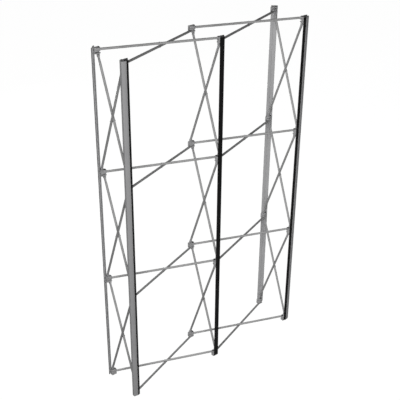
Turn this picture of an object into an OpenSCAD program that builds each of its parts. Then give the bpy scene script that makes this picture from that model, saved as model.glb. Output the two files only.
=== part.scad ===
// Pop-up display backwall: the bare folding frame, two bays wide and three rows high.
// Twenty-four hubs carry sixteen struts that cross in pairs in the level planes and
// eighteen that cross in pairs in the three columns. Five upright bars hang on hub studs.
//
// Left to right is +X, front to back is +Y, up is +Z. The origin is the middle of the
// footprint, on the floor. Every strut has the same length between its end pins and
// stands at the same angle, so the whole lattice folds as one motion.

/* [Lattice] */
// Length of every strut between its two end pins
strut_span = 715.5; // [600:0.5:900]
// Depth between the pins of the front hubs and those of the back hubs
lattice_depth = 253; // [200:1:300]

/* [Struts] */
// Outer diameter of the strut tube
tube_d = 14; // [12:0.5:16]
// Wall of the strut tube
tube_wall = 1; // [0.8:0.1:1.5]
// Thickness of the flat eye of an end fitting
tongue_t = 8; // [6:0.5:9]
// Gap between a hub's plates and the collar at the mouth of a strut tube
collar_gap = 0.6; // [0.4:0.1:3]
// Length of the collar of an end fitting
collar_len = 3; // [2:0.5:6]
// Length of the plug of an end fitting inside the tube
plug_len = 26; // [15:1:40]
// Gap between two crossing tubes, which holds the rivet's washer
cross_gap = 1.5; // [1.2:0.1:3]
// Diameter of the washer between two crossing tubes
washer_d = 12; // [10:0.5:14]
// Diameter of the crossing rivet
rivet_d = 5; // [4:0.5:6]
// Diameter of the heads of the crossing rivet
rivet_head_d = 10; // [9:0.5:12]
// Thickness of the heads of the crossing rivet
rivet_head_t = 1.6; // [1:0.1:3]

/* [Hubs] */
// Distance from the hub's middle to the upright pin of a level strut, on the far side
level_pin_x = 11; // [9:0.5:16]
// Distance from the hub's middle up or down to the cross pin of a column strut
column_pin_z = 31; // [30:0.5:40]
// Diameter of the hub pins
pin_d = 5; // [4:0.5:6]
// Diameter of the heads of the cross pins
pin_head_d = 9; // [7:0.5:11]
// Thickness of the heads of the cross pins
pin_head_t = 1.2; // [0.8:0.1:2]
// Thickness of the top and bottom plates of a hub
plate_t = 5; // [3:0.5:6]
// Thickness of the cheeks that hold a cross pin
cheek_t = 2; // [1.5:0.5:3]
// Reach of the plates from the hub's middle towards the other hub row
plate_reach = 12; // [10:1:14]
// Length of the bevel on the open corners of the plates
plate_bevel = 4; // [2:0.5:6]
// Thickness of the pad on the outer side of a hub
pad_t = 7.5; // [7:0.5:10]
// Diameter of the round cap on a hub's top plate, beside the cheeks
cap_d = 12; // [10:0.5:13]
// Height of the round cap on a hub's top plate
cap_h = 4; // [2:0.5:5]

/* [Studs] */
// Diameter of the stud's neck, which runs in the slot of a bar
stud_neck_d = 5; // [4.5:0.1:5.2]
// Diameter of the stud's head, inside the bar
stud_head_d = 13; // [11:0.5:14]
// Thickness of the stud's head
stud_head_t = 1.6; // [1.2:0.1:1.8]
// Diameter of the stud's shank in the hub
stud_shank_d = 4; // [3:0.5:5]
// Length of the stud's shank in the hub
stud_shank_len = 5; // [4:0.5:6]

/* [Bars] */
// Height of the lower ends of the bars above the floor
bar_foot = 9; // [5:0.5:10]
// Rise of the upper ends of the bars above the top hubs
bar_rise = 3; // [1:0.5:15]
// Thickness of the plate that closes the upper end of a bar
end_cap_t = 3; // [2:0.5:5]
// Wall of the bar extrusions
bar_wall = 1.6; // [1.4:0.1:1.8]
// Width of the slot in the back of a bar
slot_w = 5.6; // [5.6:0.1:7]
// Thickness of the magnetic tape
tape_t = 1.3; // [1:0.1:1.6]
// Gap between the two tapes that lie side by side
tape_gap = 0.4; // [0.2:0.1:1]
// Width of the front middle bar
middle_bar_w = 28; // [24:0.5:32]
// Depth of the front middle bar, without its tape
middle_bar_depth = 6.5; // [6.2:0.1:9]
// Distance from the seat of a front corner bar to its nose, where lip and strip meet
corner_reach = 10.6; // [10:0.1:13]
// Distance of the nose from the slot's middle, towards the lip
nose_x = 1; // [0:0.1:3]
// Width of the lip of a front corner bar, which carries its tape
lip_w = 17; // [13:0.5:19]
// Angle of the lip, turned in towards the frame
lip_turn = 21; // [18:1:24]
// Width of the bare strip between the nose and the leg
strip_w = 10; // [9:0.5:11]
// Angle of the bare strip, turned back
strip_turn = 5; // [3:1:8]
// Width of the leg of a front corner bar, beyond the strip
leg_w = 18; // [16:0.5:24]
// Angle of the leg, turned out round the side
leg_turn = 15; // [12:1:18]
// Width of the return at the outer edge of the leg
return_w = 17; // [8:0.5:18]
// Distance from the slot's middle to the outer walls of the corner bar's back channel
channel_side = 9.5; // [9.4:0.1:10.5]
// Width of the back end bars
end_bar_w = 40; // [34:1:44]
// Depth of the back end bars, without their tape
end_bar_depth = 6.5; // [6.2:0.1:9]
// Angle of the back end bars, turned out round the corner
end_bar_turn = 45; // [42:1:47]
// Distance from the hub's middle to the bevel that seats a back end bar
end_seat = 18; // [17:0.1:18.5]

/* [Fits] */
// Radial clearance of a pin or rivet in the part that turns on it
run_fit = 0.05; // [0.03:0.01:0.1]
// Clearance of a pin, rivet, plug or tape in or on the part that holds it
hold_fit = 0.01; // [0.005:0.005:0.02]
// Clearance beside an eye, washer, rivet head or stud head
side_play = 0.25; // [0.2:0.05:0.4]
// Clearance between a hub and the bar that hangs on it
seat_gap = 0.3; // [0.2:0.05:0.5]

/* [Hidden] */
$fn = 48;
cut = 1;  // overrun of a cut past the face that it opens

tube_r = tube_d / 2;
plane_off = (tube_d + cross_gap) / 2;  // a strut's middle plane from the hub's middle plane
strut_angle = acos(lattice_depth / strut_span);  // measured from the front-to-back line
strut_reach = strut_span * sin(strut_angle);     // sideways on a level strut, up on a column one
bay_w = strut_reach - 2 * level_pin_x;
row_h = strut_reach + 2 * column_pin_z;

// A strut turns on a flat eye in its slot, and its collar stays clear of the plates' corners
eye_r = tube_r;
neck_r = tube_r - tube_wall / 2;
hub_half_w = level_pin_x + eye_r + 2 * side_play;
corner_out = level_pin_x + hub_half_w;
collar_start = collar_gap + max(
    norm([corner_out, plate_reach - plate_bevel]), norm([corner_out - plate_bevel, plate_reach]));
neck_len = collar_start + collar_len;  // from the pin to the mouth of the tube
tube_len = strut_span - 2 * (neck_len + hold_fit);

web_half_h = plane_off - tongue_t / 2 - side_play;   // the solid middle, between the level slots
slot_half_h = plane_off + tongue_t / 2 + side_play;  // inner face of the top and bottom plates
hub_half_h = slot_half_h + plate_t;
pad_y = eye_r + 4 * side_play;                  // inner face of the pad
// The bottom hubs stand so high that the lowest rivet heads stay off the floor too
hub_foot = max(hub_half_h, plane_off + tube_r + side_play + rivet_head_t);
hub_face = pad_y + pad_t;                       // outer face of the pad
seat_y = hub_face + seat_gap;                   // back of a front bar
cheek_gap = tongue_t / 2 + side_play;           // half the gap between two cheeks
bar_top = hub_foot + 3 * row_h + hub_half_h + bar_rise;
bar_len = bar_top - bar_foot - end_cap_t - hold_fit;

// Reach of the front and back bars from their hubs' middles, which centres the footprint
front_reach = seat_y + corner_reach + (tape_t + hold_fit) * cos(lip_turn);
back_reach = (end_seat + seat_gap + end_bar_depth + tape_t + hold_fit) * cos(end_bar_turn)
    + (end_bar_w / 2) * sin(end_bar_turn);

// Columns, rows of hubs and levels, in the words that the node names use
SIDES = ["left", "middle", "right"];
FACES = ["front", "back"];
LEVELS = ["bottom", "lower", "upper", "top"];
BAYS = ["left_bay", "right_bay"];
ROWS = ["low", "mid", "high"];
LAPS = ["over", "under"];
LEANS = ["leaning_back", "leaning_front"];

// A bar is carried at the foot of its column, on the bottom hub
function has_bar(side, face) = face == 0 || side != 1;
function shares_bar(side, face, level) = level == 0 && has_bar(side, face)
    && !(face == 0 && side != 1);
function hub_name(side, face, level) = str(
    "hub_", shares_bar(side, face, level) ? "with_bar_" : "",
    FACES[face], "_", SIDES[side], "_", LEVELS[level]);
function level_strut_name(bay, level, lap) = str(
    "level_strut_", BAYS[bay], "_", LEVELS[level], "_", LAPS[lap]);
function column_strut_name(side, row, lean) = str(
    "column_strut_", SIDES[side], "_", ROWS[row], "_", LEANS[lean]);
function bar_name(side) = str("bar_front_", SIDES[side]);

// Middle of a hub
function hub_at(side, face, level) = [
    (side - 1) * bay_w,
    (face - 0.5) * lattice_depth + (front_reach - back_reach) / 2,
    hub_foot + level * row_h];

// ---- Struts: drawn along +X from the first pin, with the pin axes along Z ----

module end_fitting() {
    color("dimgray")
        difference() {
            union() {
                cylinder(h = tongue_t, r = eye_r, center = true);
                intersection() {
                    rotate([0, 90, 0]) cylinder(h = neck_len, r = neck_r);
                    cube([2 * neck_len, tube_d, tongue_t], center = true);
                }
                translate([collar_start, 0, 0])
                    rotate([0, 90, 0]) {
                        cylinder(h = collar_len, r = neck_r);
                        cylinder(h = collar_len + plug_len, r = tube_r - tube_wall - hold_fit);
                    }
            }
            cylinder(h = tube_d + cut, r = pin_d / 2 + run_fit, center = true);
        }
}

module strut_tube(rivet_fit) {
    color("silver")
        difference() {
            translate([neck_len + hold_fit, 0, 0])
                rotate([0, 90, 0])
                    difference() {
                        cylinder(h = tube_len, r = tube_r);
                        translate([0, 0, -cut])
                            cylinder(h = tube_len + 2 * cut, r = tube_r - tube_wall);
                    }
            translate([strut_span / 2, 0, 0])
                cylinder(h = tube_d + cut, r = rivet_d / 2 + rivet_fit, center = true);
        }
}

// The rivet and its washer, which reach down from the upper tube through the lower one
module crossing_rivet() {
    low_face = 2 * plane_off + tube_r + side_play;
    color("gray") {
        translate([0, 0, -low_face - rivet_head_t]) cylinder(h = rivet_head_t, d = rivet_head_d);
        translate([0, 0, tube_r]) cylinder(h = rivet_head_t, d = rivet_head_d);
        translate([0, 0, -low_face]) cylinder(h = low_face + tube_r, d = rivet_d);
    }
}

module crossing_washer() {
    color("dimgray")
        translate([0, 0, -tube_r - cross_gap + side_play])
            difference() {
                cylinder(h = cross_gap - side_play, d = washer_d);
                translate([0, 0, -cut])
                    cylinder(h = cross_gap + 2 * cut, r = rivet_d / 2 + run_fit);
            }
}

module strut(carries_rivet) {
    strut_tube(carries_rivet ? hold_fit : run_fit);
    end_fitting();
    translate([strut_span, 0, 0]) mirror([1, 0, 0]) end_fitting();
    if (carries_rivet)
        translate([strut_span / 2, 0, 0]) {
            crossing_rivet();
            crossing_washer();
        }
}

// lap 0 lies over the other and runs from the back left to the front right of its bay
module level_strut(bay, level, lap) {
    start = hub_at(bay, 1 - lap, level);
    way = lap == 0 ? strut_angle - 90 : 90 - strut_angle;
    lift = lap == 0 ? plane_off : -plane_off;
    translate(start + [-level_pin_x, 0, lift]) rotate([0, 0, way]) strut(lap == 0);
}

// lean 0 runs from the front up to the back, on the right of its column's middle
module column_strut(side, row, lean) {
    start = hub_at(side, lean, row);
    way = lean == 0 ? strut_angle : 180 - strut_angle;
    shift = lean == 0 ? plane_off : -plane_off;
    translate(start + [shift, 0, column_pin_z])
        rotate([90, 0, 90])
            rotate([0, 0, way]) strut(lean == 0);
}

// ---- Hubs: drawn as a back hub, with the outer side towards +Y ----

module plate_outline() {
    polygon([
        [-hub_half_w, pad_y], [-hub_half_w, plate_bevel - plate_reach],
        [plate_bevel - hub_half_w, -plate_reach], [hub_half_w - plate_bevel, -plate_reach],
        [hub_half_w, plate_bevel - plate_reach], [hub_half_w, pad_y]]);
}

module cheek() {
    rotate([90, 0, 90])
        linear_extrude(cheek_t, center = true) {
            translate([-eye_r, 0]) square([2 * eye_r, column_pin_z]);
            translate([0, column_pin_z]) circle(eye_r);
        }
}

// The two cheeks of a column strut, standing on the top plate
module ears() {
    intersection() {
        for (way = [-1, 1])
            translate([way * (cheek_gap + cheek_t / 2), 0, 0]) cheek();
        translate([-4 * eye_r, -4 * eye_r, hub_half_h - plate_t / 2])
            cube([8 * eye_r, 8 * eye_r, column_pin_z + eye_r]);
    }
}

module ear_bore() {
    translate([0, 0, column_pin_z])
        rotate([0, 90, 0])
            cylinder(h = 2 * (cheek_gap + cheek_t + cut), r = pin_d / 2 + hold_fit, center = true);
}

// Everything that stands on the top plate is drawn once and mirrored for the bottom one
module upper_place() { translate([-plane_off, 0, 0]) children(); }
module lower_place() { translate([plane_off, 0, 0]) mirror([0, 0, 1]) children(); }

module hub_body(up, down, over, under, stud, bevel_side) {
    color("gray")
        difference() {
            union() {
                translate([-hub_half_w, pad_y, -hub_half_h])
                    cube([2 * hub_half_w, pad_t, 2 * hub_half_h]);
                translate([0, 0, slot_half_h]) linear_extrude(plate_t) plate_outline();
                translate([0, 0, -hub_half_h]) linear_extrude(plate_t) plate_outline();
                translate([0, 0, -web_half_h]) linear_extrude(2 * web_half_h) plate_outline();
                translate([level_pin_x, 0, slot_half_h]) cylinder(h = plate_t + cap_h, d = cap_d);
                if (up) upper_place() ears();
                if (down) lower_place() ears();
            }
            if (up) upper_place() ear_bore();
            if (down) lower_place() ear_bore();
            if (over) translate([-level_pin_x, 0, 0]) level_bore();
            if (under) translate([level_pin_x, 0, 0]) mirror([0, 0, 1]) level_bore();
            if (bevel_side != 0)
                rotate([0, 0, -bevel_side * end_bar_turn])
                    translate([-2 * hub_face, end_seat, -hub_half_h - cut])
                        cube([4 * hub_face, 2 * hub_face, 2 * (hub_half_h + cut)]);
            if (stud)
                stud_place(bevel_side)
                    translate([0, -stud_shank_len - cut, 0])
                        rotate([-90, 0, 0])
                            cylinder(h = stud_shank_len + 2 * cut, r = stud_shank_d / 2 + hold_fit);
        }
}

module level_bore() {
    translate([0, 0, -web_half_h - cut])
        cylinder(h = hub_half_h + web_half_h + 2 * cut, r = pin_d / 2 + hold_fit);
}

// The middle of the seat: +Y is the way out of the hub
module stud_place(bevel_side) {
    rotate([0, 0, -bevel_side * end_bar_turn])
        translate([0, bevel_side == 0 ? hub_face : end_seat, 0]) children();
}

module bar_stud() {
    reach = seat_gap + bar_wall + seat_gap;
    color("gray")
        rotate([-90, 0, 0]) {
            translate([0, 0, -stud_shank_len])
                cylinder(h = stud_shank_len + reach, d = stud_shank_d);
            translate([0, 0, hold_fit]) cylinder(h = reach - hold_fit, d = stud_neck_d);
            translate([0, 0, reach]) cylinder(h = stud_head_t, d = stud_head_d);
        }
}

// The upright pin of a level strut, through the web to the outer face of its plate
module level_pin() {
    color("gray")
        translate([0, 0, -web_half_h]) cylinder(h = hub_half_h + web_half_h, d = pin_d);
}

module cross_pin() {
    half = cheek_gap + cheek_t + hold_fit;
    color("gray")
        translate([0, 0, column_pin_z])
            rotate([0, 90, 0]) {
                cylinder(h = 2 * half, d = pin_d, center = true);
                for (way = [-1, 1])
                    translate([0, 0, way * (half + pin_head_t / 2)])
                        cylinder(h = pin_head_t, d = pin_head_d, center = true);
            }
}

module hub(side, face, level) {
    up = level < 3;
    down = level > 0;
    over = face == 1 ? side < 2 : side > 0;
    under = face == 1 ? side > 0 : side < 2;
    stud = has_bar(side, face);
    bevel_side = face == 1 ? side - 1 : 0;
    translate(hub_at(side, face, level))
        rotate([0, 0, face == 1 ? 0 : 180]) {
            hub_body(up, down, over, under, stud, bevel_side);
            if (up) upper_place() cross_pin();
            if (down) lower_place() cross_pin();
            if (over) translate([-level_pin_x, 0, 0]) level_pin();
            if (under) translate([level_pin_x, 0, 0]) mirror([0, 0, 1]) level_pin();
            if (stud) stud_place(bevel_side) bar_stud();
        }
}

// ---- Bars: sections in plan, with the hub's middle at the origin ----

// An open channel that stands from y = 0 to -depth, with the slot at y = 0
module channel_section(width, depth) {
    difference() {
        translate([-width / 2, -depth]) square([width, depth]);
        translate([bar_wall - width / 2, bar_wall - depth])
            square([width - 2 * bar_wall, depth - 2 * bar_wall]);
        translate([-slot_w / 2, -bar_wall - cut]) square([slot_w, bar_wall + 2 * cut]);
    }
}

// Two tapes side by side on the face at y = -depth
module tape_pair(width, depth) {
    tape_w = (width - tape_gap) / 2;
    color("black")
        for (way = [-1, 1])
            translate([way * (tape_w + tape_gap) / 2, -depth - hold_fit - tape_t / 2, bar_len / 2])
                cube([tape_w, tape_t, bar_len], center = true);
}

// The plate on the upper end, over the outline that is given
module end_cap() {
    color("dimgray") translate([0, 0, bar_len + hold_fit]) linear_extrude(end_cap_t) children();
}

module channel_bar(width, depth) {
    color("silver") linear_extrude(bar_len) channel_section(width, depth);
    tape_pair(width, depth);
    end_cap() translate([-width / 2, -depth]) square([width, depth]);
}

// Outer corners of a front corner bar's front sheet, from the lip's end to the leg's end
nose = [nose_x, -seat_y - corner_reach];
lip_end = nose + lip_w * [cos(lip_turn), sin(lip_turn)];
knee = nose + strip_w * [-cos(strip_turn), sin(strip_turn)];
leg_end = knee + leg_w * [-cos(leg_turn), sin(leg_turn)];

// Height of a flat's inner face at x: the flat starts at a corner and rises by its turn
function inner_y(x, corner, turn) = corner[1] + abs(x - corner[0]) * tan(turn) + bar_wall / cos(turn);

// Where the inner faces of two flats meet, beside the corner that their outer faces share
function inner_shift(turn_a, turn_b) = bar_wall * (1 / cos(turn_a) - 1 / cos(turn_b));
nose_inner_x = nose[0] + inner_shift(strip_turn, lip_turn) / (tan(lip_turn) + tan(strip_turn));
knee_inner_x = knee[0] - inner_shift(strip_turn, leg_turn) / (tan(leg_turn) - tan(strip_turn));

// The region behind the outer faces, and the one behind the inner faces
module corner_outer() {
    polygon([
        leg_end, knee, nose, lip_end, [lip_end[0], -seat_y], [leg_end[0], -seat_y]]);
}

module corner_inner() {
    polygon([
        [leg_end[0] - cut, inner_y(leg_end[0] - cut, knee, leg_turn)],
        [knee_inner_x, inner_y(knee_inner_x, nose, strip_turn)],
        [nose_inner_x, inner_y(nose_inner_x, nose, strip_turn)],
        [lip_end[0] + cut, inner_y(lip_end[0] + cut, nose, lip_turn)],
        [lip_end[0] + cut, cut - seat_y], [leg_end[0] - cut, cut - seat_y]]);
}

module channel_side_to_side(half, back) {
    translate([-half, -2 * hub_face]) square([2 * half, 2 * hub_face - back]);
}

module corner_section() {
    difference() {
        corner_outer();
        corner_inner();
    }
    translate(leg_end) square([bar_wall, return_w]);
    difference() {
        intersection() {
            corner_outer();
            channel_side_to_side(channel_side, seat_y);
        }
        intersection() {
            corner_inner();
            channel_side_to_side(channel_side - bar_wall, seat_y + bar_wall);
        }
        translate([-slot_w / 2, -seat_y - bar_wall - cut]) square([slot_w, bar_wall + 2 * cut]);
    }
}

// The left one: its lip looks forward and its leg turns back round the left side
module corner_bar() {
    color("silver") linear_extrude(bar_len) corner_section();
    end_cap() corner_outer();
    color("black")
        translate([nose[0], nose[1], 0])
            rotate([0, 0, lip_turn])
                translate([0, -tape_t - hold_fit, 0]) cube([lip_w, tape_t, bar_len]);
}

module front_corner_bar(side) {
    foot = hub_at(side, 0, 0);
    translate([foot[0], foot[1], bar_foot])
        mirror([side == 0 ? 0 : 1, 0, 0]) corner_bar();
}

module front_middle_bar() {
    foot = hub_at(1, 0, 0);
    translate([foot[0], foot[1] - seat_y, bar_foot]) channel_bar(middle_bar_w, middle_bar_depth);
}

module back_end_bar(side) {
    foot = hub_at(side, 1, 0);
    translate([foot[0], foot[1], bar_foot])
        rotate([0, 0, (1 - side) * end_bar_turn])
            translate([0, end_seat + seat_gap, 0])
                rotate([0, 0, 180]) channel_bar(end_bar_w, end_bar_depth);
}

module hub_node(side, face, level) {
    hub(side, face, level);
    if (shares_bar(side, face, level)) {
        if (face == 0) front_middle_bar();
        if (face == 1) back_end_bar(side);
    }
}

for (level = [0:3], side = [0:2], face = [0:1])
    hub_node(side, face, level);
for (level = [0:3], bay = [0:1], lap = [0:1])
    level_strut(bay, level, lap);
for (row = [0:2], side = [0:2], lean = [0:1])
    column_strut(side, row, lean);
for (side = [0, 2])
    front_corner_bar(side);
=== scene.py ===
import bmesh
import bpy
import math
from mathutils import Matrix, Vector


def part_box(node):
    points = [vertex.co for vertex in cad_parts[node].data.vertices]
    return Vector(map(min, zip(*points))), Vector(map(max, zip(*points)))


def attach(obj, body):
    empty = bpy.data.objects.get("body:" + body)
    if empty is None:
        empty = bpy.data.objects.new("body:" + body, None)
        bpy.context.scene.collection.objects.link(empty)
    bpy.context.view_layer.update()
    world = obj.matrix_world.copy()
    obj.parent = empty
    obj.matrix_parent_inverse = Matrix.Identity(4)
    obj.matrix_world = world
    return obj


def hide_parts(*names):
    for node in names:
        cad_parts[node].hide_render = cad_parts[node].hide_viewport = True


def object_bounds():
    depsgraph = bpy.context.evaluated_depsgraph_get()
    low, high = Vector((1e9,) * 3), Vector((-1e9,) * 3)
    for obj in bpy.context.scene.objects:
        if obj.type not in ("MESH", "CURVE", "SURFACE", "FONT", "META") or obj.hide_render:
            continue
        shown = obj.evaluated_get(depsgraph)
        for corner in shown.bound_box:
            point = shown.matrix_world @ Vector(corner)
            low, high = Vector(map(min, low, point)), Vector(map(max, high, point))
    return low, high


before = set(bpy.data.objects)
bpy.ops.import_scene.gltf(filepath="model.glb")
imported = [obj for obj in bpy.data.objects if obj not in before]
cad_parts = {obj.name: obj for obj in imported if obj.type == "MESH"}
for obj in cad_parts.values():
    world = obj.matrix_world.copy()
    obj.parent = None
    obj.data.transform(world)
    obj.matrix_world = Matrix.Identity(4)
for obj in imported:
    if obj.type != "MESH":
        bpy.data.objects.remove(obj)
cad_box = [list(corner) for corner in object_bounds()]
mm = 0.001


# ---- The view ----
# The picture looks down on the frame from beyond its left front corner. The camera stands
# where the hubs and bars of the model fall on those of the picture, 400 pixels square.
camera_turn, camera_fall, camera_roll = (math.radians(a) for a in (38.877, 28.505, 0.478))
camera_away, camera_aside, camera_up = 5303.9 * mm, -24.9 * mm, 22.4 * mm
picture_px, focal_px, sensor_w = 400, 844.21, 36
lattice_middle = Vector((0, -2.491 * mm, 1113.915 * mm))

ahead = Vector((math.sin(camera_turn) * math.cos(camera_fall),
                math.cos(camera_turn) * math.cos(camera_fall), -math.sin(camera_fall)))
aside = Vector((math.cos(camera_turn), -math.sin(camera_turn), 0))
above = aside.cross(ahead)
aside, above = (math.cos(camera_roll) * aside + math.sin(camera_roll) * above,
                math.cos(camera_roll) * above - math.sin(camera_roll) * aside)
camera_data = bpy.data.cameras.new("camera")
camera_data.sensor_width = sensor_w
camera_data.lens = focal_px / picture_px * sensor_w
camera = bpy.data.objects.new("camera", camera_data)
place = lattice_middle - ahead * camera_away + aside * camera_aside + above * camera_up
camera.matrix_world = Matrix((
    (aside.x, above.x, -ahead.x, place.x), (aside.y, above.y, -ahead.y, place.y),
    (aside.z, above.z, -ahead.z, place.z), (0, 0, 0, 1)))
bpy.context.scene.collection.objects.link(camera)
bpy.context.scene.camera = camera
bpy.context.scene.view_settings.view_transform = "Standard"


# ---- The studio ----
# A wide floor and a surround, both white to the eye, with the frame's own faint shadow on the
# floor. Neither throws much light back: that comes from two broad lamps, the main one beyond
# the left front corner and a weaker one behind.
floor_half, floor_drop = 60, 0.2 * mm
floor_shade, floor_bounce, surround_light = 0.8, 0.06, 0.015
glow_share, glow_strength = 0.9, 1.08

floor_mesh = bpy.data.meshes.new("floor")
shape = bmesh.new()
bmesh.ops.create_grid(shape, x_segments=1, y_segments=1, size=floor_half)
shape.to_mesh(floor_mesh)
shape.free()
floor = bpy.data.objects.new("floor", floor_mesh)
floor.location.z = cad_box[0][2] - floor_drop
bpy.context.scene.collection.objects.link(floor)


def seen_directly(nodes, links):
    """1 for rays that come from the eye, or from metal or glass that mirrors, else 0."""
    path = nodes.new("ShaderNodeLightPath")
    found = path.outputs["Is Camera Ray"]
    for kind in ("Is Glossy Ray", "Is Transmission Ray"):
        either = nodes.new("ShaderNodeMath")
        either.operation = "MAXIMUM"
        links.new(found, either.inputs[0])
        links.new(path.outputs[kind], either.inputs[1])
        found = either.outputs[0]
    return found


def matt(nodes, shade):
    """A grey that takes light and shadow."""
    shader = nodes.new("ShaderNodeBsdfDiffuse")
    shader.inputs["Color"].default_value = (shade, shade, shade, 1)
    return shader.outputs[0]


floor_finish = bpy.data.materials.new("pale_floor")
floor_finish.use_nodes = True
nodes, links = floor_finish.node_tree.nodes, floor_finish.node_tree.links
nodes.clear()
glow = nodes.new("ShaderNodeEmission")
glow.inputs["Color"].default_value = (1, 1, 1, 1)
glow.inputs["Strength"].default_value = glow_strength
veiled = nodes.new("ShaderNodeMixShader")
veiled.inputs["Fac"].default_value = glow_share
links.new(matt(nodes, floor_shade), veiled.inputs[1])
links.new(glow.outputs[0], veiled.inputs[2])
shown = nodes.new("ShaderNodeMixShader")
links.new(seen_directly(nodes, links), shown.inputs["Fac"])
links.new(matt(nodes, floor_bounce), shown.inputs[1])
links.new(veiled.outputs[0], shown.inputs[2])
links.new(shown.outputs[0], nodes.new("ShaderNodeOutputMaterial").inputs["Surface"])
floor_mesh.materials.append(floor_finish)

surround = bpy.data.worlds.new("surround")
bpy.context.scene.world = surround
surround.use_nodes = True
nodes, links = surround.node_tree.nodes, surround.node_tree.links
nodes.clear()
strength = nodes.new("ShaderNodeMapRange")
strength.inputs["To Min"].default_value = surround_light
strength.inputs["To Max"].default_value = 1
links.new(seen_directly(nodes, links), strength.inputs["Value"])
sky = nodes.new("ShaderNodeBackground")
sky.inputs["Color"].default_value = (1, 1, 1, 1)
links.new(strength.outputs["Result"], sky.inputs["Strength"])
links.new(sky.outputs[0], nodes.new("ShaderNodeOutputWorld").inputs["Surface"])


def soft_lamp(name, place, size, power):
    """A square lamp that faces the middle of the frame and lights its near and far ends alike."""
    data = bpy.data.lights.new(name, "AREA")
    data.shape, data.size, data.energy = "SQUARE", size, power
    data.use_nodes = True
    nodes, links = data.node_tree.nodes, data.node_tree.links
    even = nodes.new("ShaderNodeLightFalloff")
    even.inputs["Strength"].default_value = 1
    links.new(even.outputs["Constant"], nodes["Emission"].inputs["Strength"])
    lamp = bpy.data.objects.new(name, data)
    lamp.visible_camera = False
    lamp.location = place
    lamp.rotation_mode = "QUATERNION"
    lamp.rotation_quaternion = (lattice_middle - Vector(place)).to_track_quat("-Z", "Y")
    bpy.context.scene.collection.objects.link(lamp)


soft_lamp("key_lamp", place=(-1.93, -1.98, 2.57), size=1.8, power=10)
soft_lamp("back_lamp", place=(0.9, 5.4, 1), size=2.5, power=6)


# ---- Hubs ----
# Each of the 24 knots of the lattice is one moulding of grey glass-filled nylon: three plates
# that leave two level slots for strut eyes, a thick pad on the outer side, cut at 45 degrees
# on the back corners, and pairs of cheeks above and below for the struts of the column.
SIDES = ["left", "middle", "right"]
FACES = ["front", "back"]
LEVELS = ["bottom", "lower", "upper", "top"]
left, middle, right = range(len(SIDES))
front, back = range(len(FACES))
bottom, top = 0, len(LEVELS) - 1

strut_span, lattice_depth = 715.5 * mm, 253 * mm
level_pin_x, column_pin_z = 11 * mm, 31 * mm
eye_r, tongue_t, plane_off = 7 * mm, 8 * mm, 7.75 * mm
side_play = 0.25 * mm
plate_t, plate_reach, plate_bevel, plate_edge = 5 * mm, 12 * mm, 4 * mm, 0.5 * mm
cheek_t, cheek_edge = 2 * mm, 0.35 * mm
pad_y, pad_t, pad_edge = 8 * mm, 7.5 * mm, 0.8 * mm
pocket_wall, pocket_depth = 3 * mm, 2.5 * mm
gusset_foot, gusset_rise, gusset_toe = 3.2 * mm, 12 * mm, 1 * mm
gusset_t, gusset_edge = 1.6 * mm, 0.2 * mm
end_seat, end_turn = 18 * mm, math.radians(45)
# How far one part of a moulding is sunk into the next
sunk, gusset_sunk = 1 * mm, 0.3 * mm
# Points nearer than this are one point
hair = 0.001 * mm

strut_angle = math.acos(lattice_depth / strut_span)
strut_reach = strut_span * math.sin(strut_angle)
bay_w = strut_reach - 2 * level_pin_x
row_h = strut_reach + 2 * column_pin_z
cheek_gap = tongue_t / 2 + side_play
web_half_h = plane_off - cheek_gap
slot_half_h = plane_off + cheek_gap
hub_half_h = slot_half_h + plate_t
hub_half_w = level_pin_x + eye_r + 2 * side_play
hub_face = pad_y + pad_t
back_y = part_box("hub_back_middle_top")[1].y - hub_face

# Two ways to stand a flat drawing up, with its x and y as y and z, or as x and z
xy_to_yz = Matrix(((0, 0, 1, 0), (1, 0, 0, 0), (0, 1, 0, 0), (0, 0, 0, 1)))
xy_to_xz = Matrix(((1, 0, 0, 0), (0, 0, 1, 0), (0, 1, 0, 0), (0, 0, 0, 1)))
upside_down = Matrix.Scale(-1, 4, (0, 0, 1))
half_turn = Matrix.Rotation(math.pi, 4, "Z")


def hub_spots():
    """Every hub of the lattice, as its side, face and level."""
    for level in range(len(LEVELS)):
        for side in range(len(SIDES)):
            for face in range(len(FACES)):
                yield side, face, level


def hub_at(side, face, level):
    """The middle of a hub: between its level pins, at half its height."""
    return Vector(((side - middle) * bay_w, back_y - (back - face) * lattice_depth,
                   hub_half_h + level * row_h))


def has_bar(side, face):
    return face == front or side != middle


def has_corner_bar(side, face):
    return face == front and side != middle


def cut_side(side, face):
    """The side, -1 or 1, to which a back corner hub's seat is turned, else 0."""
    return side - middle if face == back else 0


def hub_body_name(side, face, level):
    return f"hub_{FACES[face]}_{SIDES[side]}_{LEVELS[level]}"


def hub_node_name(side, face, level):
    """Bottom hubs share a node with their bar, except under the front corner bars."""
    shares = level == bottom and has_bar(side, face) and not has_corner_bar(side, face)
    return hub_body_name(side, face, level).replace("hub_", "hub_with_bar_" if shares else "hub_")


def hub_frame(side, face, level):
    """From a hub drawn at the origin with its pad towards +Y to its place in the lattice."""
    place = Matrix.Translation(hub_at(side, face, level))
    return place if face == back else place @ half_turn


def ease(shape, edges, by, steps=2):
    """Takes the sharp edges off, as a mould or a tumbler does."""
    bmesh.ops.bevel(shape, geom=edges, offset=by, offset_type="OFFSET", segments=steps,
                    profile=0.5, affect="EDGES", material=-1, clamp_overlap=True)


def lift(shape, faces, by):
    """Draws a flat face out into a solid."""
    drawn = bmesh.ops.extrude_face_region(shape, geom=faces)["geom"]
    bmesh.ops.translate(shape, verts=[v for v in drawn if isinstance(v, bmesh.types.BMVert)],
                        vec=by)


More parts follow.
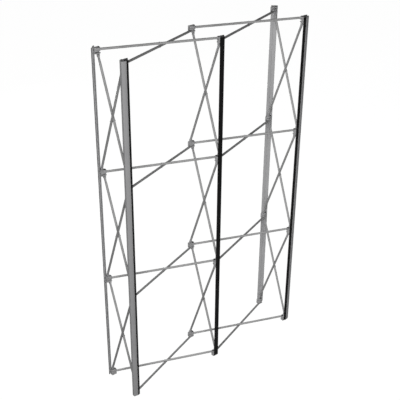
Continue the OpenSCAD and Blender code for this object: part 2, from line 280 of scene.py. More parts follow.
def plate(outline, low, high, edge):
    """A flat plate of the given outline, with eased edges."""
    shape = bmesh.new()
    face = shape.faces.new([shape.verts.new((x, y, low)) for x, y in outline])
    lift(shape, [face], (0, 0, high - low))
    bmesh.ops.recalc_face_normals(shape, faces=shape.faces)
    ease(shape, shape.edges[:], edge)
    return shape


def join(whole, part, place=Matrix.Identity(4)):
    """Sets a part into a piece, at its place."""
    bmesh.ops.transform(part, matrix=place, verts=part.verts)
    carrier = bpy.data.meshes.new("carrier")
    part.to_mesh(carrier)
    part.free()
    whole.from_mesh(carrier)
    bpy.data.meshes.remove(carrier)


# Faces narrower than this are eased edges, which handling rubs bare
worn_w = 0.9 * mm
smooth_below = math.radians(35)


def finished(name, shape, place, finish, body, node):
    """Makes the piece at its place in the frame, in its finish, and hands it to its body."""
    bmesh.ops.transform(shape, matrix=place, verts=shape.verts)
    bmesh.ops.recalc_face_normals(shape, faces=shape.faces)
    worn = shape.faces.layers.float.new("worn")
    for face in shape.faces:
        narrow = face.calc_area() < worn_w * max(e.calc_length() for e in face.edges)
        face[worn] = 1 if narrow else 0
    mesh = bpy.data.meshes.new(name)
    shape.to_mesh(mesh)
    shape.free()
    mesh.polygons.foreach_set("use_smooth", [True] * len(mesh.polygons))
    mesh.set_sharp_from_angle(angle=smooth_below)
    mesh.materials.append(finish)
    piece = bpy.data.objects.new(name, mesh)
    bpy.context.scene.collection.objects.link(piece)
    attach(piece, body)
    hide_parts(node)


def hub_piece(kind, shape, spot, finish):
    """Sets a piece drawn in a hub's own frame on that hub."""
    body = hub_body_name(*spot)
    finished(body.replace("hub_", f"hub_{kind}_"), shape, hub_frame(*spot), finish, body,
             hub_node_name(*spot))


# Most of a noise lies between these two values
noise_low, noise_high = 0.3, 0.7


def plain_finish(name, colour, roughness, metallic=0.0, gloss=0.5):
    finish = bpy.data.materials.new(name)
    finish.use_nodes = True
    shader = finish.node_tree.nodes["Principled BSDF"]
    shader.inputs["Base Color"].default_value = (*colour, 1)
    shader.inputs["Roughness"].default_value = roughness
    shader.inputs["Metallic"].default_value = metallic
    shader.inputs["Specular IOR Level"].default_value = gloss
    return finish


def pattern(finish, scale, stretch=(1, 1, 1), turn=(0, 0, 0), detail=4.0):
    """A noise over the piece's own place, drawn out and turned to run with the material."""
    nodes, links = finish.node_tree.nodes, finish.node_tree.links
    where = nodes.new("ShaderNodeTexCoord")
    turned = nodes.new("ShaderNodeMapping")
    turned.vector_type = "TEXTURE"
    turned.inputs["Rotation"].default_value = turn
    turned.inputs["Scale"].default_value = stretch
    links.new(where.outputs["Object"], turned.inputs["Vector"])
    noise = nodes.new("ShaderNodeTexNoise")
    noise.inputs["Scale"].default_value = scale
    noise.inputs["Detail"].default_value = detail
    links.new(turned.outputs["Vector"], noise.inputs["Vector"])
    return noise.outputs["Fac"]


def spread(finish, source, low, high, start=noise_low, stop=noise_high):
    """Turns a noise into a value between low and high."""
    nodes, links = finish.node_tree.nodes, finish.node_tree.links
    ranged = nodes.new("ShaderNodeMapRange")
    ranged.inputs["From Min"].default_value = start
    ranged.inputs["From Max"].default_value = stop
    ranged.inputs["To Min"].default_value = low
    ranged.inputs["To Max"].default_value = high
    links.new(source, ranged.inputs["Value"])
    return ranged.outputs["Result"]


def tint(finish, source, dark, light):
    """Colours the finish between two shades by a noise."""
    nodes, links = finish.node_tree.nodes, finish.node_tree.links
    ramp = nodes.new("ShaderNodeValToRGB")
    ramp.color_ramp.elements[0].position = noise_low
    ramp.color_ramp.elements[0].color = (*dark, 1)
    ramp.color_ramp.elements[1].position = noise_high
    ramp.color_ramp.elements[1].color = (*light, 1)
    links.new(source, ramp.inputs["Fac"])
    return ramp.outputs["Color"]


def blend_colours(finish, by, first, second):
    """Goes from the first colour to the second where by goes from 0 to 1."""
    nodes, links = finish.node_tree.nodes, finish.node_tree.links
    mix = nodes.new("ShaderNodeMix")
    mix.data_type = "RGBA"
    links.new(by, mix.inputs["Factor"])
    links.new(first, mix.inputs["A"])
    links.new(second, mix.inputs["B"])
    return mix.outputs["Result"]


def worn_edges(finish, scale, much=0.8):
    """Where the narrow faces of eased edges are rubbed, in broken stretches."""
    nodes, links = finish.node_tree.nodes, finish.node_tree.links
    marked = nodes.new("ShaderNodeAttribute")
    marked.attribute_name = "worn"
    both = nodes.new("ShaderNodeMath")
    both.operation = "MULTIPLY"
    links.new(marked.outputs["Fac"], both.inputs[0])
    broken = spread(finish, pattern(finish, scale, detail=6), 0.1, much, start=0.42, stop=0.62)
    links.new(broken, both.inputs[1])
    return both.outputs[0]


def surface(finish, colour, roughness, height, depth, strength=0.3):
    """Leads colour, roughness and relief to the shader."""
    nodes, links = finish.node_tree.nodes, finish.node_tree.links
    shader = nodes["Principled BSDF"]
    links.new(colour, shader.inputs["Base Color"])
    links.new(roughness, shader.inputs["Roughness"])
    relief = nodes.new("ShaderNodeBump")
    relief.inputs["Distance"].default_value = depth
    relief.inputs["Strength"].default_value = strength
    links.new(height, relief.inputs["Height"])
    links.new(relief.outputs["Normal"], shader.inputs["Normal"])


def shaded(colour, share):
    return tuple(share * part for part in colour)


def moulded_nylon(name, dark, light):
    """Nylon with a spark-eroded grain, glass haze and the pale rubs of handling."""
    finish = plain_finish(name, light, roughness=0.5, gloss=0.35)
    cloud = tint(finish, pattern(finish, 45), dark, light)
    rubbed = tint(finish, pattern(finish, 160, detail=6), light, shaded(light, 1.35))
    where = spread(finish, pattern(finish, 24, detail=8), 0, 0.6, start=0.56, stop=0.68)
    body_colour = blend_colours(finish, where, cloud, rubbed)
    surface(finish, blend_colours(finish, worn_edges(finish, 120), body_colour, rubbed),
            spread(finish, pattern(finish, 90), 0.42, 0.62), pattern(finish, 1800, detail=2),
            depth=0.1 * mm, strength=0.35)
    return finish


grey_nylon = moulded_nylon("grey_nylon", (0.29, 0.29, 0.293), (0.38, 0.38, 0.385))

plate_outline = [
    (-hub_half_w, pad_y + sunk), (-hub_half_w, plate_bevel - plate_reach),
    (plate_bevel - hub_half_w, -plate_reach), (hub_half_w - plate_bevel, -plate_reach),
    (hub_half_w, plate_bevel - plate_reach), (hub_half_w, pad_y + sunk)]


def cheek():
    """A cheek with a round head, standing in the plane x = 0 with its foot in the plate."""
    shape = bmesh.new()
    bmesh.ops.create_circle(shape, cap_ends=True, segments=32, radius=eye_r)
    foot = hub_half_h - sunk - column_pin_z
    for v in shape.verts:
        if v.co.y < -hair:
            v.co = Vector((math.copysign(eye_r, v.co.x) if abs(v.co.x) > hair else 0, foot, 0))
    bmesh.ops.remove_doubles(shape, verts=shape.verts, dist=hair)
    bmesh.ops.translate(shape, verts=shape.verts, vec=(0, column_pin_z, -cheek_t / 2))
    lift(shape, shape.faces[:], (0, 0, cheek_t))
    bmesh.ops.recalc_face_normals(shape, faces=shape.faces)
    ease(shape, shape.edges[:], cheek_edge)
    bmesh.ops.transform(shape, verts=shape.verts, matrix=xy_to_yz)
    return shape


def gusset():
    """A thin rib from the outside of a cheek down to the plate."""
    near = cheek_gap + cheek_t - gusset_sunk
    far = near + gusset_foot
    shape = plate([(near, hub_half_h - sunk), (far, hub_half_h - sunk),
                   (far, hub_half_h + gusset_toe), (near, hub_half_h + gusset_rise)],
                  -gusset_t / 2, gusset_t / 2, gusset_edge)
    bmesh.ops.transform(shape, verts=shape.verts, matrix=xy_to_xz)
    return shape


def cheek_places(level):
    """Where the pairs of cheeks stand: above on one side of the middle, below on the other."""
    if level < top:
        yield Matrix.Translation((-plane_off, 0, 0))
    if level > bottom:
        yield Matrix.Translation((plane_off, 0, 0)) @ upside_down


def hub_pad(pocket):
    """The thick outer side, hollowed to an even wall where no bar hangs on it."""
    shape = bmesh.new()
    bmesh.ops.create_cube(shape, size=1)
    bmesh.ops.scale(shape, verts=shape.verts, vec=(2 * hub_half_w, pad_t, 2 * hub_half_h))
    bmesh.ops.translate(shape, verts=shape.verts, vec=(0, pad_y + pad_t / 2, 0))
    outer = max(shape.faces, key=lambda f: f.calc_center_median().y)
    rims = shape.edges[:]
    if pocket:
        bmesh.ops.inset_individual(shape, faces=[outer], thickness=pocket_wall,
                                   use_even_offset=True)
        lift(shape, [outer], (0, -pocket_depth, 0))
        bmesh.ops.delete(shape, geom=[outer], context="FACES_ONLY")
    ease(shape, [e for e in rims if e.is_valid], pad_edge, 3)
    return shape


for side, face, level in hub_spots():
    hub = bmesh.new()
    join(hub, hub_pad(not has_bar(side, face)))
    for low, high in ((slot_half_h, hub_half_h), (-hub_half_h, -slot_half_h),
                      (-web_half_h, web_half_h)):
        join(hub, plate(plate_outline, low, high, plate_edge))
    for stand in cheek_places(level):
        for way in (-1, 1):
            join(hub, cheek(), stand @ Matrix.Translation(
                (way * (cheek_gap + cheek_t / 2), 0, 0)))
        join(hub, gusset(), stand)
    if cut_side(side, face):
        out = Vector((cut_side(side, face) * math.sin(end_turn), math.cos(end_turn), 0))
        bmesh.ops.bisect_plane(hub, geom=hub.verts[:] + hub.edges[:] + hub.faces[:],
                               plane_co=out * end_seat, plane_no=out, clear_outer=True)
        bmesh.ops.holes_fill(hub, edges=[e for e in hub.edges if e.is_boundary])
    hub_piece("moulding", hub, (side, face, level), grey_nylon)


# ---- Hub plugs ----
# A round black nylon plug closes the core hole in the top of each hub, beside the cheeks.
# It is pressed in, and its eased head stands proud of the plate.
plug_r, plug_h, plug_edge = 6 * mm, 4 * mm, 1 * mm
black_nylon = moulded_nylon("black_nylon", (0.012, 0.012, 0.0123), (0.022, 0.022, 0.0225))


def is_level(edge):
    return abs(edge.verts[0].co.z - edge.verts[1].co.z) < hair


def disc(radius, low, high, edge=0, steps=24):
    """A round boss, pin or head between two heights, with eased rims if edge is given."""
    shape = bmesh.new()
    bmesh.ops.create_cone(shape, cap_ends=True, segments=steps, radius1=radius,
                          radius2=radius, depth=high - low)
    bmesh.ops.translate(shape, verts=shape.verts, vec=(0, 0, (low + high) / 2))
    if edge:
        ease(shape, [e for e in shape.edges if is_level(e)], edge)
    return shape


for spot in hub_spots():
    plug = bmesh.new()
    join(plug, disc(plug_r, hub_half_h - sunk, hub_half_h + plug_h, plug_edge),
         Matrix.Translation((level_pin_x, 0, 0)))
    hub_piece("plug", plug, spot, black_nylon)


# ---- Hub pins and studs ----
# Zinc-plated steel: an upright pin through each level slot that has a strut, a cross pin with
# two round heads through each pair of cheeks, and on the hubs that carry a bar a headed stud
# that the bar's slot slides over.
pin_r, pin_head_r, pin_head_t, pin_head_edge = 2.5 * mm, 4.5 * mm, 1.2 * mm, 0.5 * mm
# A level pin's end stands proud of the plate, but in the feet it stays above the floor
pin_end_edge, pin_proud, foot_pin_proud = 0.3 * mm, 0.25 * mm, -0.2 * mm
stud_shank_r, stud_shank_len, stud_neck_r = 2 * mm, 5 * mm, 2.5 * mm
stud_head_r, stud_head_t, stud_head_edge = 6.5 * mm, 1.6 * mm, 0.4 * mm
seat_gap, bar_wall = 0.3 * mm, 1.6 * mm
# Left between pieces that are fixed together
hold_fit = 0.01 * mm
z_to_x = Matrix.Rotation(math.pi / 2, 4, "Y")

zinc = plain_finish("zinc_plate", (0.3, 0.3, 0.31), roughness=0.38, metallic=0.7)
surface(zinc, tint(zinc, pattern(zinc, 260, detail=6), (0.2, 0.2, 0.21), (0.34, 0.34, 0.35)),
        spread(zinc, pattern(zinc, 700), 0.3, 0.5), pattern(zinc, 1400), depth=0.05 * mm)


def cross_pin():
    """A pin along X through the cheeks, with a round head on each end."""
    half = cheek_gap + cheek_t + hold_fit
    shape = disc(pin_r, -half, half)
    join(shape, disc(pin_head_r, half, half + pin_head_t, pin_head_edge))
    join(shape, disc(pin_head_r, -half - pin_head_t, -half, pin_head_edge))
    bmesh.ops.transform(shape, verts=shape.verts,
                        matrix=Matrix.Translation((0, 0, column_pin_z)) @ z_to_x)
    return shape


def level_pin(proud):
    """From the web to just past the outer face of its plate, where its eased end shows."""
    return disc(pin_r, -web_half_h, hub_half_h + proud, pin_end_edge)


def bar_stud():
    """Along +Y from the seat: shank in the hub, neck in the bar's slot, head inside the bar."""
    reach = seat_gap + bar_wall + seat_gap
    shape = disc(stud_shank_r, -stud_shank_len, hold_fit)
    join(shape, disc(stud_neck_r, hold_fit, reach))
    join(shape, disc(stud_head_r, reach, reach + stud_head_t, stud_head_edge))
    bmesh.ops.transform(shape, verts=shape.verts, matrix=Matrix.Rotation(-math.pi / 2, 4, "X"))
    return shape


for side, face, level in hub_spots():
    # The upper strut of a bay runs from its left back to its right front hub, the lower one
    # from its left front to its right back hub
    holds_upper = side < right if face == back else side > left
    holds_lower = side > left if face == back else side < right
    steel = bmesh.new()
    for stand in cheek_places(level):
        join(steel, cross_pin(), stand)
    if holds_upper:
        join(steel, level_pin(pin_proud), Matrix.Translation((-level_pin_x, 0, 0)))
    if holds_lower:
        join(steel, level_pin(pin_proud if level > bottom else foot_pin_proud),
             Matrix.Translation((level_pin_x, 0, 0)) @ upside_down)
    if has_bar(side, face):
        turned = cut_side(side, face)
        join(steel, bar_stud(), Matrix.Rotation(-turned * end_turn, 4, "Z")
             @ Matrix.Translation((0, end_seat if turned else hub_face, 0)))
    hub_piece("steel", steel, (side, face, level), zinc)


# ---- Strut tubes ----
# Thirty-four lengths of drawn, clear-anodised aluminium tube, 14 mm across, which cross in
# pairs. The drawing lines run along each tube, and the ends are turned off square.
BAYS = ["left_bay", "right_bay"]
ROWS = ["low", "mid", "high"]
LAPS = ["over", "under"]
LEANS = ["leaning_back", "leaning_front"]
over, leaning_back = LAPS.index("over"), LEANS.index("leaning_back")

tube_r, tube_wall, tube_edge = 7 * mm, 1 * mm, 0.3 * mm
# A tube starts past the collar of its end fitting, which clears the hub's corners
collar_gap, collar_len = 0.6 * mm, 3 * mm
corner_out = level_pin_x + hub_half_w
collar_start = collar_gap + max(math.hypot(corner_out, plate_reach - plate_bevel),
                                math.hypot(corner_out - plate_bevel, plate_reach))
collar_end = collar_start + collar_len


def level_strut_frame(bay, level, lap):
    """From a strut drawn along +X from its pin to its place in a bay's level cross."""
    start_face, up, way = (back, plane_off, -1) if lap == over else (front, -plane_off, 1)
    start = hub_at(bay, start_face, level) + Vector((-level_pin_x, 0, up))
    return Matrix.Translation(start) @ Matrix.Rotation(way * (math.pi / 2 - strut_angle), 4, "Z")


def column_strut_frame(side, row, lean):
    """From a strut drawn along +X from its pin to its place in a column's upright cross."""
    start_face, along, turn = ((front, plane_off, strut_angle) if lean == leaning_back
                               else (back, -plane_off, math.pi - strut_angle))
    start = hub_at(side, start_face, row) + Vector((along, 0, column_pin_z))
    return Matrix.Translation(start) @ xy_to_yz @ Matrix.Rotation(turn, 4, "Z")


def drawn_aluminium(name, along, shade):
    """Satin aluminium whose lines run along a direction, with smudges and dull handling marks."""
    grey = (shade, shade, shade)
    finish = plain_finish(name, grey, roughness=0.42, metallic=0.02, gloss=0.08)
    turn = along.to_track_quat("Z", "Y").to_euler()
    lines = pattern(finish, 900, stretch=(1, 1, 400), turn=turn, detail=3)
    dark, light = shaded(grey, 0.8), shaded(grey, 1.2)
    streaks = tint(finish, lines, dark, light)
    smudges = tint(finish, pattern(finish, 30, detail=7), dark, light)
    where = spread(finish, pattern(finish, 9, detail=5), 0.15, 0.75)
    bare = tint(finish, lines, shaded(grey, 1.4), shaded(grey, 1.8))
    body_colour = blend_colours(finish, where, streaks, smudges)
    surface(finish, blend_colours(finish, worn_edges(finish, 200), body_colour, bare),
            spread(finish, pattern(finish, 60, detail=6), 0.34, 0.52), lines,
            depth=0.06 * mm, strength=0.25)
    return finish


def tube():
    """The wall's section, spun about the strut's line."""
    shape = bmesh.new()
    near, far = collar_end + hold_fit, strut_span - collar_end - hold_fit
    bore_r, rim_r = tube_r - tube_wall, tube_r - tube_edge
    section = [(near, bore_r), (near, rim_r), (near + tube_edge, tube_r),
               (far - tube_edge, tube_r), (far, rim_r), (far, bore_r)]
    ring = [shape.verts.new((x, r, 0)) for x, r in section]
    edges = [shape.edges.new(pair) for pair in zip(ring, ring[1:] + ring[:1])]
    bmesh.ops.spin(shape, geom=ring + edges, cent=(0, 0, 0), axis=(1, 0, 0), steps=32,
                   angle=2 * math.pi, use_merge=True)
    return shape


# Each strut's name, frame and tube finish, and whether the crossing rivet is set in it
struts = []
for level, level_name in enumerate(LEVELS):
    for bay, bay_name in enumerate(BAYS):
        for lap, lap_name in enumerate(LAPS):
            struts.append((f"level_strut_{bay_name}_{level_name}_{lap_name}",
                           level_strut_frame(bay, level, lap), f"tube_{lap_name}", lap == over))
for row, row_name in enumerate(ROWS):
    for side, side_name in enumerate(SIDES):
        for lean, lean_name in enumerate(LEANS):
            struts.append((f"column_strut_{side_name}_{row_name}_{lean_name}",
                           column_strut_frame(side, row, lean), f"tube_{lean_name}",
                           lean == leaning_back))

# Painted light and shade on one aluminium: the tubes that cross underneath, or lean to the front,
# are painted a little darker for the shade they turn to the lamps, those that cross over a little
# lighter
tube_painted_shades = {"tube_over": 0.37, "tube_under": 0.25, "tube_leaning_back": 0.355,
               "tube_leaning_front": 0.265}
tube_finishes = {}
for name, place, finish_name, has_rivet in struts:
    if finish_name not in tube_finishes:
        tube_finishes[finish_name] = drawn_aluminium(
            finish_name, place.to_3x3() @ Vector((1, 0, 0)), tube_painted_shades[finish_name])
    finished(name.replace("strut_", "tube_"), tube(), place, tube_finishes[finish_name],
             name, name)


# ---- Strut end fittings ----
# A nylon eye at each end of each tube: a flat tongue that turns on the hub's pin, and a round
# collar against the mouth of the tube. The plug that is pressed into the tube is out of sight.
collar_r, collar_edge, tongue_edge = tube_r - tube_wall / 2, 0.5 * mm, 1.2 * mm
run_fit = 0.05 * mm
grey_eye_nylon = moulded_nylon("grey_eye_nylon", (0.26, 0.26, 0.263), (0.34, 0.34, 0.345))


def is_sharp(edge):
    return len(edge.link_faces) == 2 and edge.calc_face_angle(0) > math.radians(60)


def end_fitting():
    """An eye about the origin that narrows along +X into its collar."""
    shape = bmesh.new()
    for v in bmesh.ops.create_circle(shape, segments=40, radius=eye_r)["verts"]:
        if v.co.x > hair:
            v.co = Vector((collar_start + sunk, v.co.y * collar_r / eye_r, 0))
    bmesh.ops.create_circle(shape, segments=40, radius=pin_r + run_fit)
    bmesh.ops.bridge_loops(shape, edges=shape.edges[:])
    bmesh.ops.translate(shape, verts=shape.verts, vec=(0, 0, -tongue_t / 2))
    lift(shape, shape.faces[:], (0, 0, tongue_t))
    bmesh.ops.recalc_face_normals(shape, faces=shape.faces)
    # The long rims are eased, but not those of the pin's hole or of the end in the collar
    rims = [e for e in shape.edges if is_level(e) and is_sharp(e)
            and min(v.co.xy.length for v in e.verts) > (pin_r + eye_r) / 2
            and min(v.co.x for v in e.verts) < collar_start]
    ease(shape, rims, tongue_edge, 3)
    join(shape, disc(collar_r, collar_start, collar_end, collar_edge, steps=32), z_to_x)
    return shape


for name, place, finish_name, has_rivet in struts:
    pair = end_fitting()
    join(pair, end_fitting(), Matrix.Translation((strut_span, 0, 0)) @ half_turn)
    finished(name.replace("strut_", "eyes_"), pair, place, grey_eye_nylon, name, name)


# ---- Crossing rivets ----
# A steel rivet with two domed heads joins each pair of tubes at the middle, through a washer
# that keeps the tubes apart. It is set in one tube, and the other turns on it.
rivet_r, rivet_head_r, rivet_head_t = 2.5 * mm, 5 * mm, 1.6 * mm
washer_r, washer_edge = 6 * mm, 0.2 * mm
# The dome from its rim to its crown, as shares of the head's radius and height
dome = [(1, 0), (1, 0.35), (0.86, 0.72), (0.5, 0.95), (0, 1)]

cross_gap = 2 * (plane_off - tube_r)
rivet_foot = -(2 * plane_off + tube_r + side_play)


def domed_head():
    """Half a section, spun about Z, from the seat at z = 0 to the crown."""
    shape = bmesh.new()
    line = [shape.verts.new((rivet_head_r * across, 0, rivet_head_t * up))
            for across, up in [(0, 0)] + dome]
    edges = [shape.edges.new(pair) for pair in zip(line, line[1:])]
    bmesh.ops.spin(shape, geom=line + edges, cent=(0, 0, 0), axis=(0, 0, 1), steps=24,
                   angle=2 * math.pi, use_merge=True)
    bmesh.ops.remove_doubles(shape, verts=shape.verts, dist=hair)
    return shape


for name, place, finish_name, has_rivet in struts:
    if has_rivet:
        rivet = disc(rivet_r, rivet_foot, tube_r)
        join(rivet, domed_head(), Matrix.Translation((0, 0, tube_r)))
        join(rivet, domed_head(), Matrix.Translation((0, 0, rivet_foot)) @ upside_down)
        join(rivet, disc(washer_r, -tube_r - cross_gap + side_play, -tube_r, washer_edge))
        finished(name.replace("strut_", "rivet_"), rivet,
                 place @ Matrix.Translation((strut_span / 2, 0, 0)), zinc, name, name)


# ---- Front corner bars ----
# Two uprights of extruded aluminium that hang on the studs of the outer front hubs. A bent
# front sheet has a lip turned in for the panel's tape, a bare strip, and a leg turned out
# round the side with a return; a slotted channel behind it takes the stud heads.
bar_foot, bar_rise, end_cap_t, slot_w, bar_edge = 9 * mm, 3 * mm, 3 * mm, 5.6 * mm, 0.3 * mm
corner_reach, nose_x, channel_side, return_w = 10.6 * mm, 1 * mm, 9.5 * mm, 17 * mm
lip_w, lip_turn = 17 * mm, math.radians(21)
strip_w, strip_turn = 10 * mm, math.radians(5)
leg_w, leg_turn = 18 * mm, math.radians(15)

seat_y = hub_face + seat_gap
bar_top = top * row_h + 2 * hub_half_h + bar_rise
bar_len = bar_top - bar_foot - end_cap_t - hold_fit
nose = Vector((nose_x, -seat_y - corner_reach))
lip_end = nose + lip_w * Vector((math.cos(lip_turn), math.sin(lip_turn)))
knee = nose + strip_w * Vector((-math.cos(strip_turn), math.sin(strip_turn)))
leg_end = knee + leg_w * Vector((-math.cos(leg_turn), math.sin(leg_turn)))


def inner_y(x, corner, turn):
    """The y of a flat's inner face at x, for a flat that starts at an outer corner."""
    return corner.y + abs(x - corner.x) * math.tan(turn) + bar_wall / math.cos(turn)


def inner_shift(turn, other_turn):
    """How much thicker, measured along y, the wall of one flat is than that of another."""
    return bar_wall * (1 / math.cos(turn) - 1 / math.cos(other_turn))


nose_inner_x = nose.x + inner_shift(strip_turn, lip_turn) / (
    math.tan(lip_turn) + math.tan(strip_turn))
knee_inner_x = knee.x - inner_shift(strip_turn, leg_turn) / (
    math.tan(leg_turn) - math.tan(strip_turn))
side_in, slot_back = channel_side - bar_wall, -seat_y - bar_wall
corner_outline = [
    (leg_end.x, leg_end.y + return_w), tuple(leg_end), tuple(knee), tuple(nose), tuple(lip_end),
    (lip_end.x, inner_y(lip_end.x, nose, lip_turn)),
    (channel_side, inner_y(channel_side, nose, lip_turn)), (channel_side, -seat_y),
    (slot_w / 2, -seat_y), (slot_w / 2, slot_back), (side_in, slot_back),
    (side_in, inner_y(side_in, nose, lip_turn)),
    (nose_inner_x, inner_y(nose_inner_x, nose, strip_turn)),
    (knee_inner_x, inner_y(knee_inner_x, nose, strip_turn)),
    (-side_in, inner_y(-side_in, knee, leg_turn)), (-side_in, slot_back),
    (-slot_w / 2, slot_back), (-slot_w / 2, -seat_y), (-channel_side, -seat_y),
    (-channel_side, inner_y(-channel_side, knee, leg_turn)),
    (leg_end.x + bar_wall, inner_y(leg_end.x + bar_wall, knee, leg_turn)),
    (leg_end.x + bar_wall, leg_end.y + return_w)]


def extruded_aluminium(name, dark, light, bare_to, metallic, gloss):
    """Anodised extrusion: die lines up the bar, a little cloudiness, and dull rubbed patches."""
    finish = plain_finish(name, light, roughness=0.45, metallic=metallic, gloss=gloss)
    die = pattern(finish, 1100, stretch=(1, 1, 3000), detail=3)
    lines = tint(finish, die, dark, light)
    cloud = tint(finish, pattern(finish, 16, stretch=(1, 1, 3), detail=7), dark, light)
    where = spread(finish, pattern(finish, 5, detail=4), 0.2, 0.8)
    bare = tint(finish, die, bare_to, shaded(bare_to, 1.2))
    body_colour = blend_colours(finish, where, lines, cloud)
    surface(finish, blend_colours(finish, worn_edges(finish, 40, much=0.6), body_colour, bare),
            spread(finish, pattern(finish, 45, stretch=(1, 1, 4), detail=6), 0.36, 0.54), die,
            depth=0.08 * mm)
    return finish


def extrusion(outline, rounding):
    """The die's opening, its corners eased, drawn out to the bars' length."""
    shape = bmesh.new()
    shape.faces.new([shape.verts.new((x, y, 0)) for x, y in outline])
    bmesh.ops.bevel(shape, geom=shape.verts[:], offset=rounding, offset_type="OFFSET",
                    segments=2, profile=0.5, affect="VERTICES", material=-1, clamp_overlap=True)
    lift(shape, shape.faces[:], (0, 0, bar_len))
    return shape


def bar_place(side, face):
    """The foot of the column's bar, under the middle of its bottom hub."""
    foot = hub_at(side, face, bottom)
    return Matrix.Translation((foot.x, foot.y, bar_foot))


# From each bar's own drawing, where it stands on the origin, to its place on its hubs
bar_frames = {}


def bar_piece(kind, shape, side, face, finish, within=Matrix.Identity(4)):
    """Sets a piece drawn in a bar's own frame on that bar, which rides on its bottom hub."""
    shares = not has_corner_bar(side, face)
    node = hub_node_name(side, face, bottom) if shares else f"bar_{FACES[face]}_{SIDES[side]}"
    finished(f"{kind}_{FACES[face]}_{SIDES[side]}", shape, bar_frames[side, face] @ within,
             finish, hub_body_name(side, face, bottom), node)


satin_aluminium = extruded_aluminium("satin_aluminium", (0.31, 0.31, 0.314), (0.39, 0.39, 0.395),
                                     (0.5, 0.5, 0.506), metallic=0.03, gloss=0.12)
for side in (left, right):
    # The right one is the mirror image of the left one
    bar_frames[side, front] = bar_place(side, front) @ Matrix.Scale(middle - side, 4, (1, 0, 0))
    bar_piece("extrusion", extrusion(corner_outline, bar_edge), side, front, satin_aluminium)


# ---- Back end bars ----
# Two wide, shallow channels of the same aluminium on the cut corners of the back hubs, turned
# 45 degrees so that the end panels can wrap round. Their slots look in at the hubs.
end_bar_w, end_channel_depth = 40 * mm, 5.3 * mm


def channel_outline(width, depth):
    """An open channel from y = 0 to -depth, with its slot at y = 0."""
    half, inside = width / 2, width / 2 - bar_wall
    return [(-half, 0), (-half, -depth), (half, -depth), (half, 0), (slot_w / 2, 0),
            (slot_w / 2, -bar_wall), (inside, -bar_wall), (inside, bar_wall - depth),
            (-inside, bar_wall - depth), (-inside, -bar_wall), (-slot_w / 2, -bar_wall),
            (-slot_w / 2, 0)]


for side in (left, right):
    bar_frames[side, back] = (
        bar_place(side, back) @ Matrix.Rotation((middle - side) * end_turn, 4, "Z")
        @ Matrix.Translation((0, end_seat + seat_gap, 0)) @ half_turn)
    bar_piece("extrusion", extrusion(channel_outline(end_bar_w, end_channel_depth), bar_edge),
              side, back, satin_aluminium)


# ---- Front middle bar ----
# A narrow channel in black-anodised aluminium on the studs of the middle front hubs, where
# the edges of two panels meet.
middle_bar_w, middle_bar_depth = 28 * mm, 6.5 * mm
black_anodised = extruded_aluminium("black_anodised", (0.004, 0.004, 0.004),
                                    (0.007, 0.007, 0.007), (0.03, 0.03, 0.031), metallic=0,
                                    gloss=0.05)
bar_frames[middle, front] = bar_place(middle, front) @ Matrix.Translation((0, -seat_y, 0))
bar_piece("extrusion", extrusion(channel_outline(middle_bar_w, middle_bar_depth), bar_edge),
          middle, front, black_anodised)


# ---- Magnetic tapes ----
# Black flexible magnet strip, bonded to every face that a panel lies on: one strip on each
# corner bar's lip, and two side by side on the middle bar and on each end bar. Those of the
# end bars are thicker, and together a little wider than the bar.
tape_t, tape_gap, tape_edge = 1.3 * mm, 0.4 * mm, 0.25 * mm
end_tape_t, end_tape_over = 3.2 * mm, 0.7 * mm

tape_rubber = plain_finish("tape_rubber", (0.005, 0.005, 0.005), roughness=0.6, gloss=0.05)
fine = pattern(tape_rubber, 1500, detail=3)
dusty = spread(tape_rubber, pattern(tape_rubber, 14, detail=8), 0, 0.5, start=0.6, stop=0.75)
clean = tint(tape_rubber, fine, (0.004, 0.004, 0.004), (0.008, 0.008, 0.008))
dust = tint(tape_rubber, pattern(tape_rubber, 90, detail=6),
            (0.006, 0.006, 0.006), (0.011, 0.011, 0.011))
surface(tape_rubber, blend_colours(tape_rubber, dusty, clean, dust),
        spread(tape_rubber, pattern(tape_rubber, 50), 0.5, 0.75), fine, depth=0.06 * mm)


def tape(width, thick=tape_t):
    """A strip that stands on its end, with its bonded face at y = 0."""
    half = width / 2
    return extrusion([(-half, 0), (-half, -thick), (half, -thick), (half, 0)], tape_edge)


def tape_pair(width, depth, thick):
    """Two strips side by side on the outer face of a channel, which is at y = -depth."""
    strip_w = (width - tape_gap) / 2
    pair = bmesh.new()
    for way in (-1, 1):
        join(pair, tape(strip_w, thick), Matrix.Translation(
            (way * (strip_w + tape_gap) / 2, -depth - hold_fit, 0)))
    return pair


on_lip = (Matrix.Translation((nose.x, nose.y, 0)) @ Matrix.Rotation(lip_turn, 4, "Z")
          @ Matrix.Translation((lip_w / 2, -hold_fit, 0)))
for side in (left, right):
    bar_piece("tape", tape(lip_w), side, front, tape_rubber, on_lip)
bar_piece("tapes", tape_pair(middle_bar_w, middle_bar_depth, tape_t), middle, front,
          tape_rubber)
for side in (left, right):
    bar_piece("tapes", tape_pair(end_bar_w + 2 * end_tape_over, end_channel_depth, end_tape_t),
              side, back, tape_rubber)


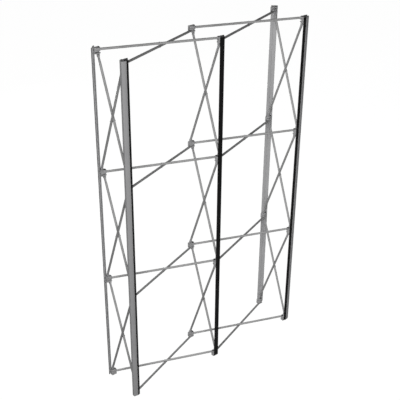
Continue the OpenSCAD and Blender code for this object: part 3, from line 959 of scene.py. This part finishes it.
# ---- Bar end plates ----
# A nylon plate snaps into the upper end of each bar and covers the extrusion's cut edge. Those
# of the front bars are black, with a low block moulded on that is gripped to pull the bar off
# its hubs; those of the back bars are plain and grey.
cap_edge, grip_edge = 0.6 * mm, 1.2 * mm
grip_w, grip_d, grip_h = 22 * mm, 9 * mm, 8 * mm
# A corner bar's block follows the bend of the bar and stays within its outline
corner_grip_left, corner_grip_right, corner_grip_h = -9 * mm, 15.5 * mm, 9.5 * mm
corner_grip_inset = 0.5 * mm
# Deeper than the end bar's channel, to cover part of the tapes as well
end_cap_depth = 6.5 * mm

cap_low = bar_len + hold_fit
cap_high = cap_low + end_cap_t
corner_grip_back = -seat_y - corner_grip_inset
corner_plate = [tuple(leg_end), tuple(knee), tuple(nose), tuple(lip_end),
                (lip_end.x, -seat_y), (leg_end.x, -seat_y)]
corner_grip = [(corner_grip_left, corner_grip_back),
               (corner_grip_left, inner_y(corner_grip_left, nose, strip_turn)),
               (nose_inner_x, inner_y(nose_inner_x, nose, strip_turn)),
               (corner_grip_right, inner_y(corner_grip_right, nose, lip_turn)),
               (corner_grip_right, corner_grip_back)]


def channel_cap(width, depth):
    """A plate over the upper end of a channel."""
    half = width / 2
    return plate([(-half, 0), (-half, -depth), (half, -depth), (half, 0)], cap_low, cap_high,
                 cap_edge)


def grip_block(outline, height):
    return plate(outline, cap_high - sunk, cap_high + height, grip_edge)


for side in (left, right):
    cap = plate(corner_plate, cap_low, cap_high, cap_edge)
    join(cap, grip_block(corner_grip, corner_grip_h))
    bar_piece("end_plate", cap, side, front, black_nylon)
cap = channel_cap(middle_bar_w, middle_bar_depth)
join(cap, grip_block([(-grip_w / 2, -grip_d / 2), (grip_w / 2, -grip_d / 2),
                      (grip_w / 2, grip_d / 2), (-grip_w / 2, grip_d / 2)], grip_h),
     Matrix.Translation((0, -middle_bar_depth / 2, 0)))
bar_piece("end_plate", cap, middle, front, black_nylon)
for side in (left, right):
    bar_piece("end_plate", channel_cap(end_bar_w, end_cap_depth), side, back, grey_nylon)
